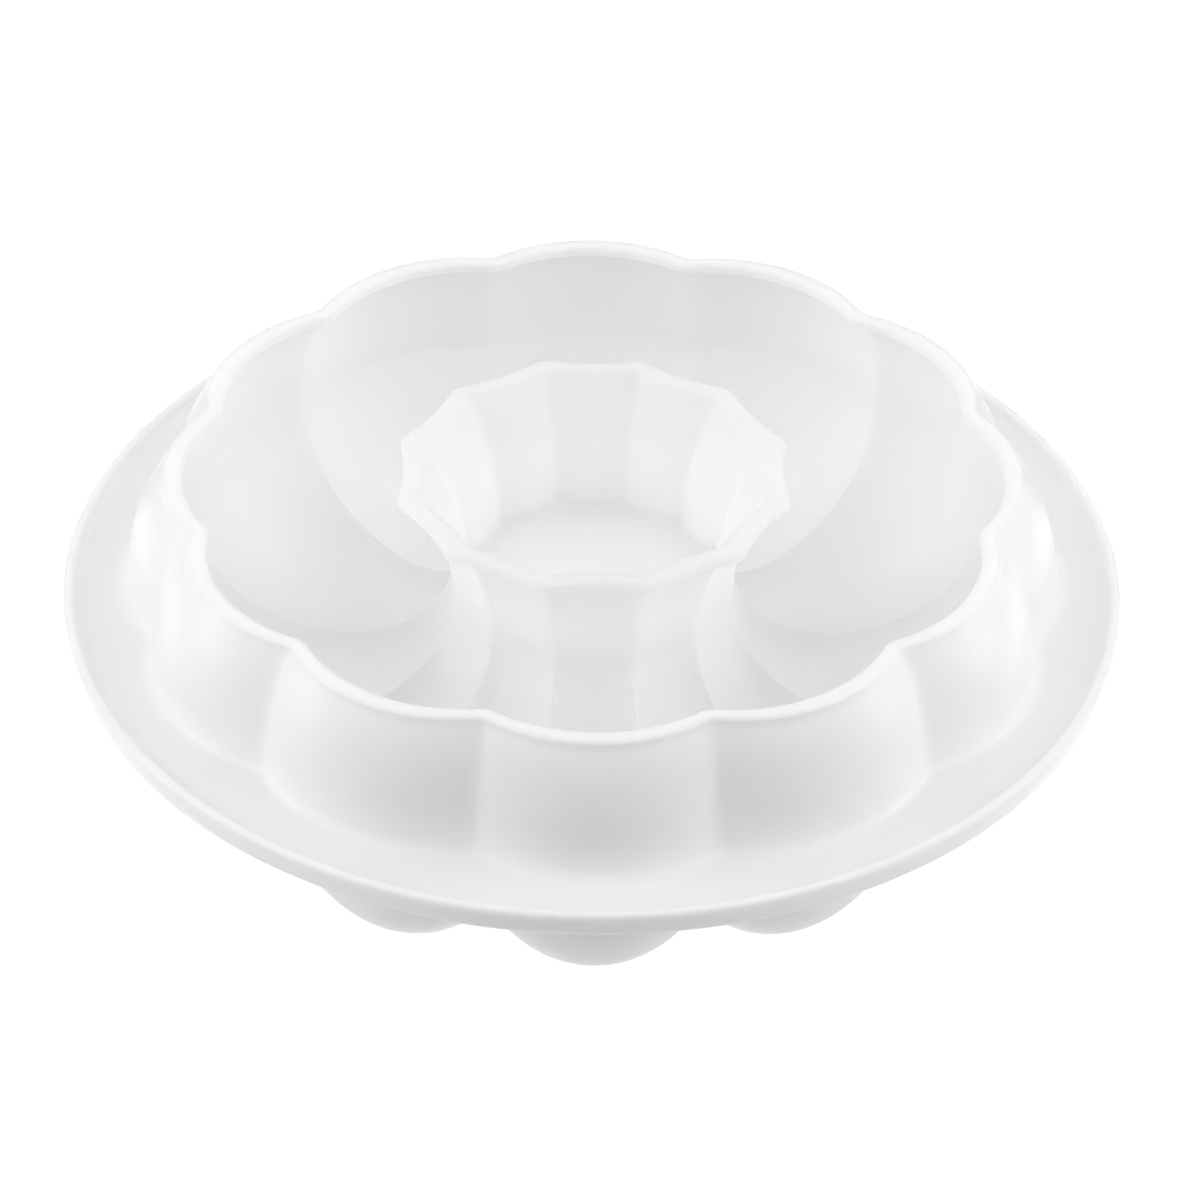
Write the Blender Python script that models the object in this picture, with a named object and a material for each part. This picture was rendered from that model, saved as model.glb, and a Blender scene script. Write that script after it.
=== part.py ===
"""Flower-shaped mixing palette: a ring of twelve scoops round a fluted centre cup.

Three mouldings are joined with 0.3 mm clearance between them:
  petal_tray   standing flower wall with the round saucer flange and its rolled lip
  well_ring    twelve rounded paint scoops under the flower wall, with a hidden collar
  centre_cup   fluted cup with a flat floor, standing in the throat of the well ring

Sizes are in millimetres here and become metres when the meshes are made. Depths are
measured down from the rim; radii run out from the vertical axis. One lobe faces -Y.
"""
import math
from collections import namedtuple

import bmesh
import bpy

MM = 0.001

# Overall sizes
LOBES = 12
STEPS = 8                  # mesh steps across one lobe
BOWL_STEPS = 13            # mesh steps round the bowl of a scoop
HEIGHT = 52.2              # rim of the flower wall down to the feet of the scoops
GAP = 0.3                  # clearance between joined mouldings
FLANGE_R = 86.0

# The ring channel: one cross-section under the ridges, another along the lobes' crests
CHANNEL_R = 47.1           # middle of the channel
EQUATOR = 20.5             # depth at which the channel is widest

# Saucer flange, its rolled lip and the collar joined beneath it
FLANGE_TOP = 20.9
SEAM = 22.2                # underside of the flange, foot of the cup wall
LIP_TOP = 19.3
LIP_BOTTOM = 23.2
LIP_SQUARE = 0.7           # under 1 squares the lip's section, 1 leaves it oval
LIP_W = 2.2
LIP_FOOT = 0.6             # blend from the flange up to its lip
UNDERSIDE_R = 78.6
FOOT_BLEND = 2.4           # blend radius where a wall meets a flange
COLLAR_T = 1.2
COLLAR_R = FLANGE_R - LIP_W - 0.3

# Standing walls: rims, level rows and the rounded bead along their top edges
PETAL_RIM = 0.0
CUP_RIM = -0.3             # the cup stands a little above the flower wall
EDGE_ROUND = 0.9
BEAD_DROP = 1.8            # height of a rim's bead on the paint side
BEAD_BLEND = 0.9           # height over which the bead runs back into the wall
WALL_LEVELS = (6.5, 11.0, 16.0)
PETAL_BEAD = (62.3, 65.6)  # paint-side radii of the bead at a ridge and on a crest
CUP_BEAD = (32.5, 30.5)

# Cup floor and the spigot below it
FLOOR = 21.0
FLOOR_T = 1.7
FLOOR_BLEND = 1.6
SPIGOT_R = 19.2
SPIGOT_T = 1.8
SPIGOT_END = 26.0

Section = namedtuple("Section", "rim_out widest_out bottom widest_in rim_in fullness")

PAINT_RIDGE = Section(63.6, 70.2, 41.6, 23.8, 31.2, 2.0)
PAINT_CREST = Section(66.2, 73.5, 50.8, 21.7, 29.5, 2.3)
BACK_RIDGE = Section(64.6, 71.7, 43.3, 22.1, 29.6, 2.0)
BACK_CREST = Section(68.4, 75.6, 53.2, 20.0, 27.8, 2.35)

PAINT = (PAINT_RIDGE, PAINT_CREST)     # the skin that holds paint
BACK = (BACK_RIDGE, BACK_CREST)        # the skin one wall thickness behind it

HALF = math.pi / LOBES


def wall_radius(section, depth, outer):
    """Radius of a section's outer or inner wall at a depth above or below the equator."""
    widest = section.widest_out if outer else section.widest_in
    rim = section.rim_out if outer else section.rim_in
    reach = abs(widest - CHANNEL_R)
    if depth <= EQUATOR:
        slope = math.sqrt(1.0 - ((rim - CHANNEL_R) / reach) ** 2)
        level = (EQUATOR - depth) / EQUATOR * slope
        span = reach * math.sqrt(1.0 - level ** 2)
    else:
        level = (depth - EQUATOR) / (section.bottom - EQUATOR)
        span = reach * (1.0 - level ** section.fullness) ** (1.0 / section.fullness)
    return CHANNEL_R + span if outer else CHANNEL_R - span


def bowl_point(section, turn):
    """(radius, depth) under the equator: turn 0 is the outer wall, pi the inner wall."""
    power = 2.0 / section.fullness
    across = math.cos(turn)
    reach = section.widest_out - CHANNEL_R if across > 0.0 else CHANNEL_R - section.widest_in
    radius = CHANNEL_R + math.copysign(reach * abs(across) ** power, across)
    depth = EQUATOR + (section.bottom - EQUATOR) * abs(math.sin(turn)) ** power
    return radius, depth


def lobed_row(ridge, crest, outset=0.0):
    """One closed row round the axis, swelling from the ridge points to the crest points."""
    ridge_r, ridge_z = ridge
    chord_r = ridge_r * math.cos(HALF)
    half_chord = ridge_r * math.sin(HALF)
    rise_r = crest[0] - chord_r
    rise_z = crest[1] - ridge_z
    swell = min(math.hypot(rise_r, rise_z) / half_chord, 1.0)
    sweep = 2.0 * math.atan(swell)
    arc_r = (1.0 + swell ** 2) / (2.0 * swell)
    row = []
    for lobe in range(LOBES):
        for step in range(STEPS):
            place = 2.0 * step / STEPS - 1.0
            side = half_chord * arc_r * math.sin(sweep * place)
            lift = (math.cos(sweep * place) - math.cos(sweep)) * arc_r / swell
            out = chord_r + rise_r * lift
            depth = ridge_z + rise_z * lift
            angle = math.atan2(side, out) + 2.0 * HALF * lobe
            row.append(ring_vertex(math.hypot(out, side) + outset, angle, depth))
    return row


def round_row(radius, depth):
    """One closed circular row."""
    row = []
    for number in range(LOBES * STEPS):
        angle = HALF * (2.0 * number / STEPS - 1.0)
        row.append(ring_vertex(radius, angle, depth))
    return row


def ring_vertex(radius, angle, depth):
    """Position in metres; angles run from -Y towards +X."""
    height = max(HEIGHT - depth, 0.0)
    return (radius * math.sin(angle) * MM, -radius * math.cos(angle) * MM, height * MM)


def wall_row(skin, depth, outer, outset=0.0):
    """A level row on a standing wall."""
    ridge, crest = skin
    ridge_point = (wall_radius(ridge, depth, outer), depth)
    crest_point = (wall_radius(crest, depth, outer), depth)
    return lobed_row(ridge_point, crest_point, outset)


def wall_rows(skin, depths, outer):
    return [wall_row(skin, depth, outer) for depth in depths]


def standing_rows(rim, bead, outer, steps=4):
    """A standing wall: up the paint skin, over the beaded rim and down the back."""
    shoulder = rim + EDGE_ROUND
    under = rim + BEAD_DROP
    rows = wall_rows(PAINT, (SEAM, *reversed(WALL_LEVELS), under + BEAD_BLEND), outer)
    rows.append(lobed_row((bead[0], under), (bead[1], under)))
    for step in range(steps + 1):
        turn = math.pi * step / steps
        share = (1.0 - math.cos(turn)) / 2.0
        depth = rim + EDGE_ROUND * (1.0 - math.sin(turn))
        ends = []
        for start, back in zip(bead, BACK):
            end = wall_radius(back, shoulder, outer)
            ends.append((start + (end - start) * share, depth))
        rows.append(lobed_row(ends[0], ends[1]))
    return rows + wall_rows(BACK, WALL_LEVELS, outer)


def foot_rows(skin, flat, rise, outer, outset, steps=3):
    """A blend that leaves a wall at depth flat - rise and lies down flat at depth flat."""
    rows = []
    for step in range(steps + 1):
        share = step / steps
        depth = flat - rise * (1.0 - share) ** 2
        rows.append(wall_row(skin, depth, outer, outset * share ** 2))
    return rows


def bowl_rows(skin):
    """Rows under the channel from the outer seam round to the inner seam."""
    ridge, crest = skin
    rows = []
    for step in range(1, BOWL_STEPS):
        turn = math.pi * step / BOWL_STEPS
        rows.append(lobed_row(bowl_point(ridge, turn), bowl_point(crest, turn)))
    return rows


def squared(value):
    """A sine or cosine pushed towards 1, which turns an oval into a rounded box."""
    return math.copysign(abs(value) ** LIP_SQUARE, value)


def petal_tray_rows():
    """Closed section of the flower wall, flange and lip."""
    rows = standing_rows(PETAL_RIM, PETAL_BEAD, True)
    rows += foot_rows(BACK, FLANGE_TOP, FOOT_BLEND, True, FOOT_BLEND)
    rows.append(round_row(FLANGE_R - LIP_W - LIP_FOOT, FLANGE_TOP - LIP_FOOT / 2.0))
    lip_mid = FLANGE_R - LIP_W / 2.0
    lip_half = (LIP_BOTTOM - LIP_TOP) / 2.0
    for step in range(1, 10):
        turn = math.pi * (1.0 - step / 6.0)
        radius = lip_mid + LIP_W / 2.0 * squared(math.cos(turn))
        depth = LIP_TOP + lip_half * (1.0 - squared(math.sin(turn)))
        rows.append(round_row(radius, depth))
    rows.append(round_row(FLANGE_R - LIP_W, SEAM))
    rows.append(round_row(UNDERSIDE_R, SEAM))
    return rows


def well_ring_rows():
    """Closed section of the scoops, their collar and the throat."""
    top = SEAM + GAP
    under = top + COLLAR_T
    rows = [wall_row(PAINT, top, True)]
    rows += bowl_rows(PAINT)
    rows.append(wall_row(PAINT, top, False))
    rows.append(wall_row(BACK, top, False))
    rows += reversed(bowl_rows(BACK)[1:])
    rows += foot_rows(BACK, under, -FOOT_BLEND, True, FOOT_BLEND)
    rows.append(round_row(COLLAR_R, under))
    rows.append(round_row(COLLAR_R, top))
    return rows


def centre_cup_rows():
    """Section of the cup from the axis underneath to the axis on the floor."""
    under = FLOOR + FLOOR_T
    rows = [round_row(SPIGOT_R / 2.0, under)]
    rows.append(round_row(SPIGOT_R - SPIGOT_T, under))
    rows.append(round_row(SPIGOT_R - SPIGOT_T, SPIGOT_END))
    rows.append(round_row(SPIGOT_R, SPIGOT_END))
    rows.append(round_row(SPIGOT_R, SEAM))
    rows += standing_rows(CUP_RIM, CUP_BEAD, False)
    rows += foot_rows(BACK, FLOOR, FLOOR_BLEND, False, -FLOOR_BLEND)
    rows.append(round_row(SPIGOT_R / 2.0, FLOOR))
    return rows


def skin_rows(mesh, rows, closed):
    """Skin neighbouring rows with quads; a closed section meets itself, an open one caps."""
    rings = []
    for row in rows:
        rings.append([mesh.verts.new(place) for place in row])
    pairs = list(zip(rings, rings[1:]))
    if closed:
        pairs.append((rings[-1], rings[0]))
    for lower, upper in pairs:
        for index in range(len(lower)):
            after = (index + 1) % len(lower)
            mesh.faces.new((lower[index], lower[after], upper[after], upper[index]))
    if closed:
        return
    for ring in (rings[0], rings[-1]):
        mean = sum(vertex.co.z for vertex in ring) / len(ring)
        hub = mesh.verts.new((0.0, 0.0, mean))
        for index, vertex in enumerate(ring):
            mesh.faces.new((hub, vertex, ring[(index + 1) % len(ring)]))


def make_part(name, rows, closed, colour, roughness):
    """Build one named body with its own plastic material."""
    data = bpy.data.meshes.new(name)
    mesh = bmesh.new()
    skin_rows(mesh, rows, closed)
    bmesh.ops.recalc_face_normals(mesh, faces=mesh.faces)
    mesh.to_mesh(data)
    mesh.free()
    part = bpy.data.objects.new(name, data)
    bpy.context.collection.objects.link(part)
    material = bpy.data.materials.new(name + "_plastic")
    material.use_nodes = True
    shader = material.node_tree.nodes["Principled BSDF"]
    shader.inputs["Base Color"].default_value = (*colour, 1.0)
    shader.inputs["Roughness"].default_value = roughness
    shader.inputs["Metallic"].default_value = 0.0
    data.materials.append(material)
    data.shade_smooth()
    data.set_sharp_from_angle(angle=math.radians(35.0))
    return part


def main():
    for item in list(bpy.data.objects):
        bpy.data.objects.remove(item)
    white = (0.86, 0.86, 0.85)
    make_part("petal_tray", petal_tray_rows(), True, white, 0.32)
    make_part("well_ring", well_ring_rows(), True, white, 0.32)
    make_part("centre_cup", centre_cup_rows(), False, white, 0.30)


main()
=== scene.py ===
"""Looks for the flower-shaped mixing palette: fine moulded surfaces, white plastic, studio."""
import math
from collections import namedtuple

import bpy
import numpy as np
from mathutils import Matrix, Vector


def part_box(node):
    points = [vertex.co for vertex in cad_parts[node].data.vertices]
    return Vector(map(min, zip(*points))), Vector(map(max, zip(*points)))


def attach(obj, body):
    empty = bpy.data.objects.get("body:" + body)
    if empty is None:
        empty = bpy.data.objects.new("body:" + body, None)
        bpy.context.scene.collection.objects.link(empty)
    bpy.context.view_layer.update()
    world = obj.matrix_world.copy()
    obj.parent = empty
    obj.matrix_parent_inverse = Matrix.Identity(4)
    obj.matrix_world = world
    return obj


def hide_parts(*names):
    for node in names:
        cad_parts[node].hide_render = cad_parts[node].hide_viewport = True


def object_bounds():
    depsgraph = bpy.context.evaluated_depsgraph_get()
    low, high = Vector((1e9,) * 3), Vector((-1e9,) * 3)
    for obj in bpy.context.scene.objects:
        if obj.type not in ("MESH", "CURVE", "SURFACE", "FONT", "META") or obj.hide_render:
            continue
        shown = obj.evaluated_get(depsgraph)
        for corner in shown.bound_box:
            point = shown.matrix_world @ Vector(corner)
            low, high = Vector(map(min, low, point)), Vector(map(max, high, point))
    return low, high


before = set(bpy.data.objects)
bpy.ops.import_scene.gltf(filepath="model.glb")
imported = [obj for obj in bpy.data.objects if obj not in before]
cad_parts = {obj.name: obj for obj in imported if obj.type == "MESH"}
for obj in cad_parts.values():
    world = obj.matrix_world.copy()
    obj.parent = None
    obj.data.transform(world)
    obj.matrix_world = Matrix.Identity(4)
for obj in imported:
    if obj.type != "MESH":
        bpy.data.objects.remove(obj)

CAD_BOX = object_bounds()
TRAY_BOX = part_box("petal_tray")
WELL_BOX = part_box("well_ring")
CUP_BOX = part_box("centre_cup")

# One design millimetre in metres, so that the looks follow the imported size.
DESIGN_WIDTH = 172.0
UNIT = (CAD_BOX[1].x - CAD_BOX[0].x) / DESIGN_WIDTH
RIM_Z = TRAY_BOX[1].z


def depth_of(height):
    """Depth below the flower wall's rim, in design millimetres, of a height in metres."""
    return (RIM_Z - height) / UNIT


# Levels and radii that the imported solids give
FEET = depth_of(WELL_BOX[0].z)
CUP_RIM = depth_of(CUP_BOX[1].z)
LIP_BOTTOM = depth_of(TRAY_BOX[0].z)
JOIN = depth_of(WELL_BOX[1].z)
SPIGOT_END = depth_of(CUP_BOX[0].z)
FLANGE_R = TRAY_BOX[1].x / UNIT
COLLAR_R = WELL_BOX[1].x / UNIT

# The rest of the design, in millimetres: radii from the axis, depths under the flower wall's rim
LOBES = 12
CHANNEL_R = 47.1           # middle of the ring channel
EQUATOR = 20.5             # depth at which the channel is widest
FLANGE_TOP = 20.9
PACKED_GAP = 0.3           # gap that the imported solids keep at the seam
SEAM = JOIN - PACKED_GAP
HAIRLINE = 0.004           # the same gap in the looks
UNDERSIDE_R = 78.6
LIP_TOP = 19.3
LIP_W = 2.2
LIP_SQUARE = 0.7           # under 1 squares the lip's section, 1 leaves it oval
LIP_FOOT = 0.9             # width of the blend from the flange up to its lip
LIP_FOOT_RISE = 0.15
LIP_START = 0.86 * math.pi  # the lip's section turns from its inner foot over the top and under
LIP_SWEEP = 1.36 * math.pi
FOOT_BLEND = 2.4
COLLAR_T = 1.2
COLLAR_STEP = 1.2          # width of the step that stands up from the collar to the seam
EDGE_ROUND = 0.9           # how far down a rim's rounding reaches on the back
BEAD_DROP = 1.8            # height of a rim's bead on the paint side
BEAD_BLEND = 0.9           # height over which the bead runs back into the wall
PETAL_BEAD = (62.6, 66.0)  # paint-side radii of the bead at a ridge and on a crest
CUP_BEAD = (32.5, 30.5)
FLOOR = 21.0
FLOOR_T = 1.7
FLOOR_BLEND = 1.6
SPIGOT_R = 19.2
SPIGOT_T = 1.8
RIDGE_ROUND = 1.3          # how far a ridge's rounding reaches into each lobe
CUSP_R = 64.78             # radius of the flower rim's cusps, the camera's unit of length

# Share of the light that each piece's skin lets through
THROUGH_LIGHT = {"petal_tray": 0.34, "well_ring": 0.28, "centre_cup": 0.60}

# Brightness of the white ground and background, which only the camera sees
BACKDROP = 1.05
GROUND_HALF = 12.0         # half the ground's width in metres
GROUND_DROP = 0.0002       # how far the ground lies under the feet, in metres

# Soft lights a metre away: azimuth from the front, elevation, radius (m), power (W)
SOFTBOXES = (
    ("front", 0.0, 30.0, 0.25, 0.8),
    ("front_top", 0.0, 65.0, 0.3, 0.3),
    ("front_side", 30.0, 30.0, 0.25, 0.9),
    ("side_front", 60.0, 30.0, 0.25, 1.1),
    ("side", 90.0, 30.0, 0.25, 2.4),
    ("side_low", 90.0, 5.0, 0.2, 1.9),
    ("side_top", 60.0, 60.0, 0.3, 1.1),
    ("side_high", 100.0, 55.0, 0.3, 0.8),
    ("rear_side", 120.0, 30.0, 0.25, 0.6),
    ("rear", 150.0, 30.0, 0.25, 1.2),
    ("rear_top", 180.0, 60.0, 0.35, 1.5),
    ("rear_low", 180.0, 20.0, 0.25, 0.2),
    ("bounce_front", 60.0, -35.0, 0.45, 2.6),
    ("bounce_side", 120.0, -35.0, 0.45, 3.6),
    ("bounce_rear", 180.0, -35.0, 0.45, 4.0),
    ("bounce_below", 0.0, -90.0, 0.6, 4.0),
)

# Fineness of the meshes; steeper edges than the angle stay sharp
SHARP_ANGLE = math.radians(40.0)
LOBE_STEPS = 32
WALL_STEPS = 18
EDGE_STEPS = 14
BEAD_STEPS = 6
FOOT_STEPS = 8
LIP_STEPS = 24
BOWL_STEPS = 72
BOWL_CLEARANCE = 1.35      # keeps the bowl's first row clear of the seam, in turns of the seam

Section = namedtuple("Section", "rim_out widest_out bottom widest_in rim_in fullness")

PAINT = (
    Section(63.6, 70.2, 41.6, 23.8, 31.2, 2.0),
    Section(66.2, 73.5, 50.8, 21.7, 29.5, 2.3),
)
BACK = (
    Section(64.6, 71.7, 43.3, 22.1, 29.6, 2.0),
    Section(68.4, 75.6, 53.2, 20.0, 27.8, 2.35),
)

HALF = math.pi / LOBES


def wall_radius(section, depth, outer):
    """Radius of a section's outer or inner wall at a depth above or below the equator."""
    widest = section.widest_out if outer else section.widest_in
    rim = section.rim_out if outer else section.rim_in
    reach = abs(widest - CHANNEL_R)
    if depth <= EQUATOR:
        slope = math.sqrt(1.0 - ((rim - CHANNEL_R) / reach) ** 2)
        level = (EQUATOR - depth) / EQUATOR * slope
        span = reach * math.sqrt(1.0 - level ** 2)
    else:
        level = (depth - EQUATOR) / (section.bottom - EQUATOR)
        span = reach * (1.0 - level ** section.fullness) ** (1.0 / section.fullness)
    return CHANNEL_R + span if outer else CHANNEL_R - span


def bowl_point(section, turn):
    """(radius, depth) under the equator: turn 0 is the outer wall, pi the inner wall."""
    power = 2.0 / section.fullness
    across = math.cos(turn)
    reach = section.widest_out - CHANNEL_R if across > 0.0 else CHANNEL_R - section.widest_in
    radius = CHANNEL_R + math.copysign(reach * abs(across) ** power, across)
    depth = EQUATOR + (section.bottom - EQUATOR) * abs(math.sin(turn)) ** power
    return radius, depth


def lobe_arc(ridge, crest, place):
    """Sideways, outwards and downwards positions across one lobe; place runs from -1 to 1."""
    chord_r = ridge[0] * math.cos(HALF)
    half_chord = ridge[0] * math.sin(HALF)
    rise_r = crest[0] - chord_r
    rise_z = crest[1] - ridge[1]
    swell = min(math.hypot(rise_r, rise_z) / half_chord, 1.0)
    sweep = 2.0 * math.atan(swell)
    arc_r = (1.0 + swell ** 2) / (2.0 * swell)
    limit = 1.0 - RIDGE_ROUND / (half_chord * arc_r * sweep)
    on_arc = np.clip(np.abs(place), 0.0, limit)
    lift = (np.cos(sweep * on_arc) - math.cos(sweep)) * arc_r / swell
    side = half_chord * arc_r * np.sin(sweep * on_arc)
    out = chord_r + rise_r * lift
    down = ridge[1] + rise_z * lift
    # Past the limit a parabola rounds the ridge off, with its control point on the ridge.
    turn = np.clip((np.abs(place) - limit) / (1.0 - limit), 0.0, 1.0) / 2.0
    pull = 2.0 * turn * (1.0 - turn)
    along = side * math.sin(HALF) + out * math.cos(HALF)
    aside = side * math.cos(HALF) - out * math.sin(HALF)
    along += (ridge[0] - along) * pull
    aside *= 1.0 - 2.0 * turn
    down += (ridge[1] - down) * pull
    side = along * math.sin(HALF) + aside * math.cos(HALF)
    out = along * math.cos(HALF) - aside * math.sin(HALF)
    return side * np.sign(place), out, down


def ring_points(radius, angle, depth):
    """Places in metres, none below the flat feet; angles run from -Y towards +X."""
    height = np.maximum(RIM_Z / UNIT - depth, (RIM_Z / UNIT) - FEET)
    return np.stack((radius * np.sin(angle), -radius * np.cos(angle), height), -1) * UNIT


def lobed_row(ridge, crest, outset=0.0):
    """One closed row round the axis, swelling from the ridge points to the crest points."""
    place = np.arange(LOBE_STEPS) * 2.0 / LOBE_STEPS - 1.0
    side, out, down = lobe_arc(ridge, crest, place)
    angle = np.arctan2(side, out)
    turns = np.arange(LOBES)[:, None] * 2.0 * HALF
    radius = np.tile(np.hypot(side, out) + outset, LOBES)
    return ring_points(radius, (turns + angle).ravel(), np.tile(down, LOBES))


def round_row(radius, depth):
    """One closed circular row."""
    angle = HALF * (np.arange(LOBES * LOBE_STEPS) * 2.0 / LOBE_STEPS - 1.0)
    return ring_points(np.full_like(angle, radius), angle, np.full_like(angle, depth))


def wall_row(skin, depth, outer, outset=0.0):
    """A level row on a standing wall."""
    ridge, crest = skin
    ridge_point = (wall_radius(ridge, depth, outer), depth)
    crest_point = (wall_radius(crest, depth, outer), depth)
    return lobed_row(ridge_point, crest_point, outset)


def smooth(share):
    """Runs from 0 to 1 and starts and ends level."""
    return share * share * (3.0 - 2.0 * share)


def standing_rows(rim, bead, foot, outer):
    """A standing wall: up the paint skin, over the beaded rim and down the back."""
    shoulder = rim + EDGE_ROUND
    under = rim + BEAD_DROP
    levels = np.linspace(SEAM, under + BEAD_BLEND, WALL_STEPS)
    rows = [wall_row(PAINT, depth, outer) for depth in levels]
    for share in np.linspace(0.0, 1.0, BEAD_STEPS + 1)[1:]:
        depth = under + BEAD_BLEND * (1.0 - share)
        ends = []
        for paint, edge in zip(PAINT, bead):
            start = wall_radius(paint, depth, outer)
            ends.append((start + (edge - start) * smooth(share), depth))
        rows.append(lobed_row(ends[0], ends[1]))
    for step in range(EDGE_STEPS + 1):
        turn = math.pi * step / EDGE_STEPS
        share = (1.0 - math.cos(turn)) / 2.0
        depth = rim + EDGE_ROUND * (1.0 - math.sin(turn))
        ends = []
        for start, back in zip(bead, BACK):
            end = wall_radius(back, shoulder, outer)
            ends.append((start + (end - start) * share, depth))
        rows.append(lobed_row(ends[0], ends[1]))
    levels = np.linspace(shoulder, foot, WALL_STEPS)
    return rows + [wall_row(BACK, depth, outer) for depth in levels[1:-1]]


def foot_rows(skin, flat, rise, outer, outset):
    """A blend that leaves a wall at depth flat - rise and lies down flat at depth flat."""
    rows = []
    for share in np.linspace(0.0, 1.0, FOOT_STEPS + 1):
        depth = flat - rise * (1.0 - share) ** 2
        rows.append(wall_row(skin, depth, outer, outset * share ** 2))
    return rows


def bowl_rows(skin):
    """Rows under the channel from the outer seam round to the inner seam."""
    ridge, crest = skin
    turns = np.linspace(0.0, math.pi, BOWL_STEPS + 1)
    low = math.asin((JOIN - EQUATOR) / (ridge.bottom - EQUATOR)) * BOWL_CLEARANCE
    turns = turns[(turns > low) & (turns < math.pi - low)]
    return [lobed_row(bowl_point(ridge, turn), bowl_point(crest, turn)) for turn in turns]


def squared(value):
    """A sine or cosine pushed towards 1, which turns an oval into a rounded box."""
    return math.copysign(abs(value) ** LIP_SQUARE, value)


def petal_tray_rows():
    """Closed section of the flower wall, flange and lip."""
    rows = standing_rows(0.0, PETAL_BEAD, FLANGE_TOP - FOOT_BLEND, True)
    rows += foot_rows(BACK, FLANGE_TOP, FOOT_BLEND, True, FOOT_BLEND)
    lip_mid = FLANGE_R - LIP_W / 2.0
    lip_half = (LIP_BOTTOM - LIP_TOP) / 2.0
    flat_end = FLANGE_R - LIP_W - LIP_FOOT
    rows.append(round_row(flat_end, FLANGE_TOP - LIP_FOOT_RISE))
    for step in range(LIP_STEPS + 1):
        turn = LIP_START - LIP_SWEEP * step / LIP_STEPS
        radius = lip_mid + LIP_W / 2.0 * squared(math.cos(turn))
        depth = LIP_TOP + lip_half * (1.0 - squared(math.sin(turn)))
        rows.append(round_row(radius, depth))
    rows.append(round_row(FLANGE_R - LIP_W, SEAM))
    rows.append(round_row(UNDERSIDE_R, SEAM))
    return rows


def well_ring_rows():
    """Closed section of the scoops, their collar and the throat."""
    top = SEAM + HAIRLINE
    under = JOIN + COLLAR_T
    rows = [wall_row(PAINT, top, True)]
    rows += bowl_rows(PAINT)
    rows.append(wall_row(PAINT, top, False))
    rows.append(wall_row(BACK, top, False))
    rows += bowl_rows(BACK)[:1:-1]
    rows += foot_rows(BACK, under, -FOOT_BLEND, True, FOOT_BLEND)
    rows.append(round_row(COLLAR_R, under))
    rows.append(round_row(COLLAR_R, JOIN))
    rows.append(round_row(UNDERSIDE_R, JOIN))
    rows.append(wall_row(PAINT, top, True, COLLAR_STEP))
    return rows


def centre_cup_rows():
    """Section of the cup from the axis underneath to the axis on the floor."""
    under = FLOOR + FLOOR_T
    rows = [round_row(SPIGOT_R / 2.0, under)]
    rows.append(round_row(SPIGOT_R - SPIGOT_T, under))
    rows.append(round_row(SPIGOT_R - SPIGOT_T, SPIGOT_END))
    rows.append(round_row(SPIGOT_R, SPIGOT_END))
    rows.append(round_row(SPIGOT_R, SEAM))
    rows += standing_rows(CUP_RIM, CUP_BEAD, FLOOR - FLOOR_BLEND, False)
    rows += foot_rows(BACK, FLOOR, FLOOR_BLEND, False, -FLOOR_BLEND)
    rows.append(round_row(SPIGOT_R / 2.0, FLOOR))
    return rows


def skin_mesh(name, rows, closed):
    """A mesh skinned over neighbouring rows; an open section is capped at the axis."""
    points = np.concatenate(rows)
    around = len(rows[0])
    index = np.arange(len(points)).reshape(len(rows), around)
    if closed:
        index = np.vstack((index, index[:1]))
    after = np.roll(index, -1, axis=1)
    quads = np.stack((index[:-1], after[:-1], after[1:], index[1:]), -1).reshape(-1, 4)
    faces = quads.tolist()
    if not closed:
        for row, first in ((rows[0], index[0]), (rows[-1], index[-1])):
            hub = len(points)
            points = np.vstack((points, (0.0, 0.0, row[:, 2].mean())))
            spokes = [(hub, int(a), int(b)) for a, b in zip(first, np.roll(first, -1))]
            faces += [tuple(reversed(f)) for f in spokes] if first[0] == 0 else spokes
    mesh = bpy.data.meshes.new(name)
    mesh.from_pydata(points.tolist(), [], faces)
    mesh.validate()
    return mesh


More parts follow.
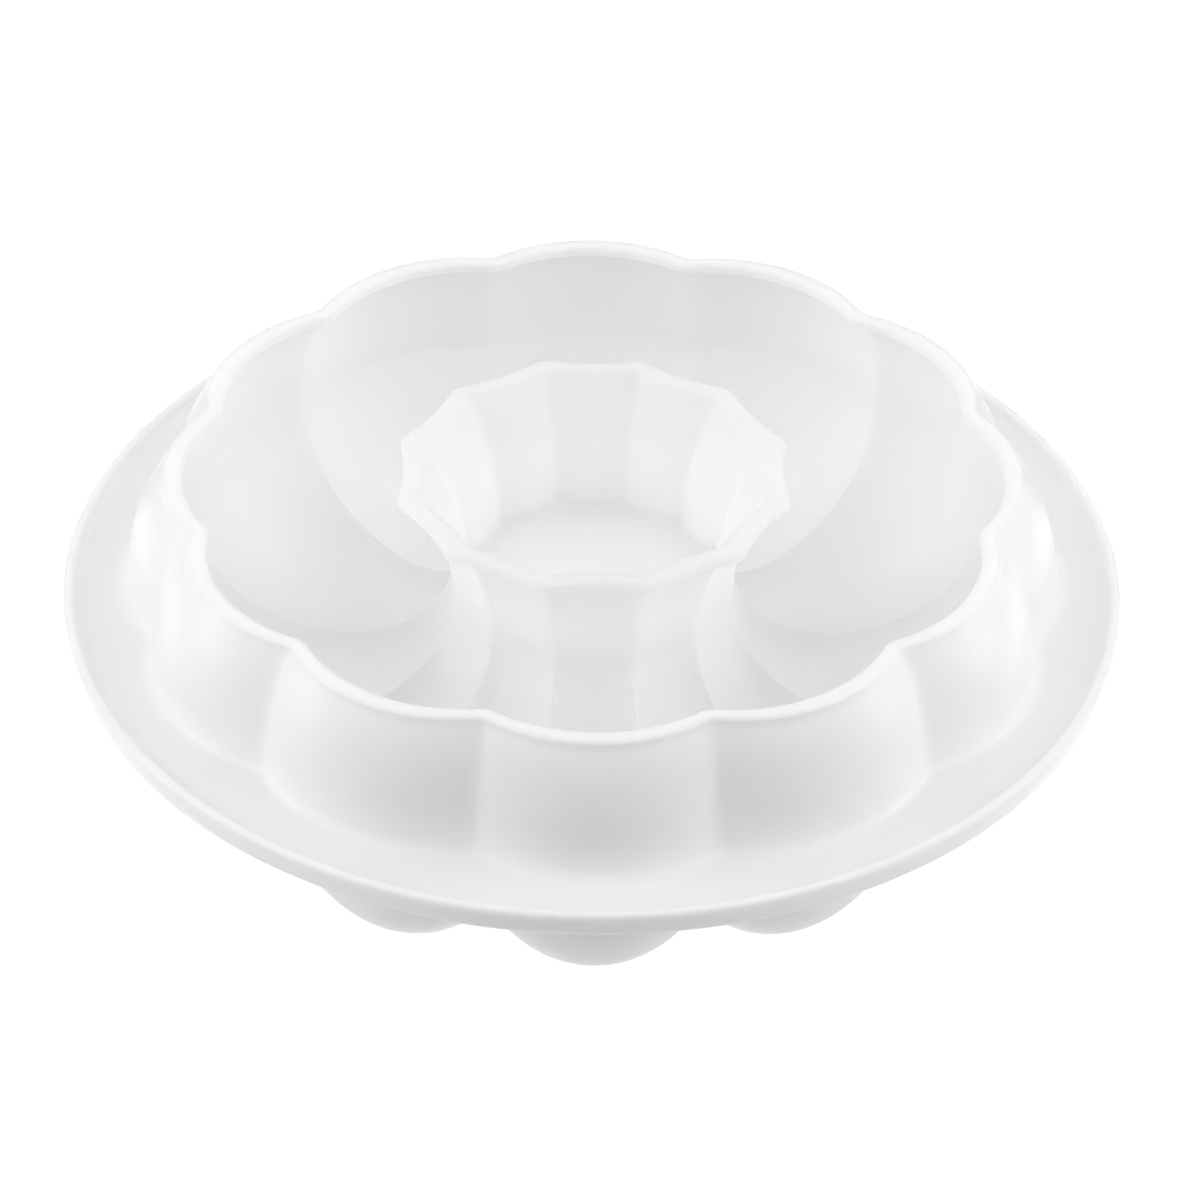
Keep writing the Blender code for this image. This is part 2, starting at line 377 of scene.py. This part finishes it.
def white_plastic(name, through_light):
    """Milky moulded plastic, faintly uneven; through_light is the share a skin lets through."""
    material = bpy.data.materials.new(name)
    material.use_nodes = True
    nodes = material.node_tree.nodes
    link = material.node_tree.links.new
    shader = nodes["Principled BSDF"]
    shader.inputs["IOR"].default_value = 1.38
    place = nodes.new("ShaderNodeTexCoord")
    cloud = nodes.new("ShaderNodeTexNoise")
    cloud.inputs["Scale"].default_value = 28.0
    cloud.inputs["Detail"].default_value = 3.0
    link(place.outputs["Object"], cloud.inputs["Vector"])
    tint = nodes.new("ShaderNodeMix")
    tint.data_type = "RGBA"
    tint.inputs["A"].default_value = (0.954, 0.954, 0.954, 1.0)
    tint.inputs["B"].default_value = (0.968, 0.968, 0.968, 1.0)
    link(cloud.outputs["Fac"], tint.inputs["Factor"])
    link(tint.outputs["Result"], shader.inputs["Base Color"])
    gloss = nodes.new("ShaderNodeMapRange")
    gloss.inputs["To Min"].default_value = 0.28
    gloss.inputs["To Max"].default_value = 0.36
    link(cloud.outputs["Fac"], gloss.inputs["Value"])
    link(gloss.outputs["Result"], shader.inputs["Roughness"])
    grain = nodes.new("ShaderNodeTexNoise")
    grain.inputs["Scale"].default_value = 260.0
    grain.inputs["Detail"].default_value = 2.0
    link(place.outputs["Object"], grain.inputs["Vector"])
    bump = nodes.new("ShaderNodeBump")
    bump.inputs["Strength"].default_value = 0.15
    bump.inputs["Distance"].default_value = 0.00006
    link(grain.outputs["Fac"], bump.inputs["Height"])
    link(bump.outputs["Normal"], shader.inputs["Normal"])
    through = nodes.new("ShaderNodeBsdfTranslucent")
    link(tint.outputs["Result"], through.inputs["Color"])
    blend = nodes.new("ShaderNodeMixShader")
    blend.inputs["Fac"].default_value = through_light
    link(shader.outputs["BSDF"], blend.inputs[1])
    link(through.outputs["BSDF"], blend.inputs[2])
    link(blend.outputs["Shader"], nodes["Material Output"].inputs["Surface"])
    return material


def add_piece(name, rows, closed, slot):
    """One fine piece in place of a packed one, in its own plastic."""
    mesh = skin_mesh(name + "_fine", rows, closed)
    mesh.materials.append(white_plastic(slot, THROUGH_LIGHT[name]))
    piece = bpy.data.objects.new(name + "_fine", mesh)
    bpy.context.scene.collection.objects.link(piece)
    mesh.shade_smooth()
    mesh.set_sharp_from_angle(angle=SHARP_ANGLE)
    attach(piece, "root")
    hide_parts(name)


def add_camera():
    """Camera at the photograph's angle, aimed a little off the middle of the rim plane."""
    flower = CUSP_R * UNIT
    elevation = math.radians(37.367)
    distance = 10.061 * flower
    aim_right = -0.0204 * flower
    aim_up = 0.3243 * flower
    roll = -0.0144
    turn = -0.0180
    forward = Vector((0.0, math.cos(elevation), -math.sin(elevation)))
    right = Vector((1.0, 0.0, 0.0))
    up = right.cross(forward)
    eye = Vector((0.0, 0.0, RIM_Z)) - distance * forward - aim_right * right - aim_up * up
    axis_x = math.cos(roll) * right - math.sin(roll) * up
    axis_y = math.sin(roll) * right + math.cos(roll) * up
    stance = Matrix((axis_x, axis_y, -forward)).transposed().to_4x4()
    stance.translation = eye
    data = bpy.data.cameras.new("camera")
    data.sensor_width = 36.0
    data.lens = 121.95
    camera = bpy.data.objects.new("camera", data)
    camera.matrix_world = Matrix.Rotation(turn, 4, "Z") @ stance
    bpy.context.scene.collection.objects.link(camera)
    bpy.context.scene.camera = camera


def add_floor():
    """A glowing white ground that only the camera sees."""
    mesh = bpy.data.meshes.new("floor")
    corners = [(x, y, 0.0) for x, y in ((-1, -1), (1, -1), (1, 1), (-1, 1))]
    mesh.from_pydata([(GROUND_HALF * x, GROUND_HALF * y, z) for x, y, z in corners], [], [(0, 1, 2, 3)])
    floor = bpy.data.objects.new("floor", mesh)
    floor.location.z = CAD_BOX[0].z - GROUND_DROP
    bpy.context.scene.collection.objects.link(floor)
    material = bpy.data.materials.new("floor_white")
    material.use_nodes = True
    tree = material.node_tree
    tree.nodes.clear()
    glow = tree.nodes.new("ShaderNodeEmission")
    glow.inputs["Strength"].default_value = BACKDROP
    out = tree.nodes.new("ShaderNodeOutputMaterial")
    tree.links.new(glow.outputs["Emission"], out.inputs["Surface"])
    mesh.materials.append(material)
    floor.visible_diffuse = False
    floor.visible_glossy = False
    floor.visible_transmission = False
    floor.visible_shadow = False


def add_softbox(name, azimuth, elevation, radius, watts):
    """A round soft light a metre from the dish; azimuth 0 is in front, 90 to the right."""
    side = math.radians(azimuth)
    rise = math.radians(elevation)
    level = math.cos(rise)
    towards = Vector((math.sin(side) * level, -math.cos(side) * level, math.sin(rise)))
    data = bpy.data.lights.new(name, "AREA")
    data.shape = "DISK"
    data.size = 2.0 * radius
    data.energy = watts
    light = bpy.data.objects.new(name, data)
    light.location = towards + Vector((0.0, 0.0, RIM_Z / 2.0))
    light.rotation_mode = "QUATERNION"
    light.rotation_quaternion = towards.to_track_quat("Z", "Y")
    light.visible_camera = False
    bpy.context.scene.collection.objects.link(light)


def add_lights():
    """A white world that only the camera sees, and the softboxes, mirrored left and right."""
    world = bpy.data.worlds.new("studio")
    bpy.context.scene.world = world
    world.use_nodes = True
    background = world.node_tree.nodes["Background"]
    background.inputs["Color"].default_value = (1.0, 1.0, 1.0, 1.0)
    background.inputs["Strength"].default_value = BACKDROP
    seen = world.cycles_visibility
    seen.diffuse = False
    seen.glossy = False
    seen.transmission = False
    seen.scatter = False
    for name, azimuth, elevation, radius, watts in SOFTBOXES:
        add_softbox(name, azimuth, elevation, radius, watts)
        if azimuth % 180.0:
            add_softbox(name + "_left", -azimuth, elevation, radius, watts)


def set_light_paths():
    """Enough bounces for light inside white walls, and plain colours in the picture."""
    scene = bpy.context.scene
    scene.cycles.max_bounces = 16
    scene.cycles.diffuse_bounces = 12
    scene.view_settings.view_transform = "Standard"
    scene.view_settings.look = "None"


set_light_paths()
add_piece("petal_tray", petal_tray_rows(), True, "tray_plastic")
add_piece("well_ring", well_ring_rows(), True, "well_plastic")
add_piece("centre_cup", centre_cup_rows(), False, "cup_plastic")
add_camera()
add_floor()
add_lights()
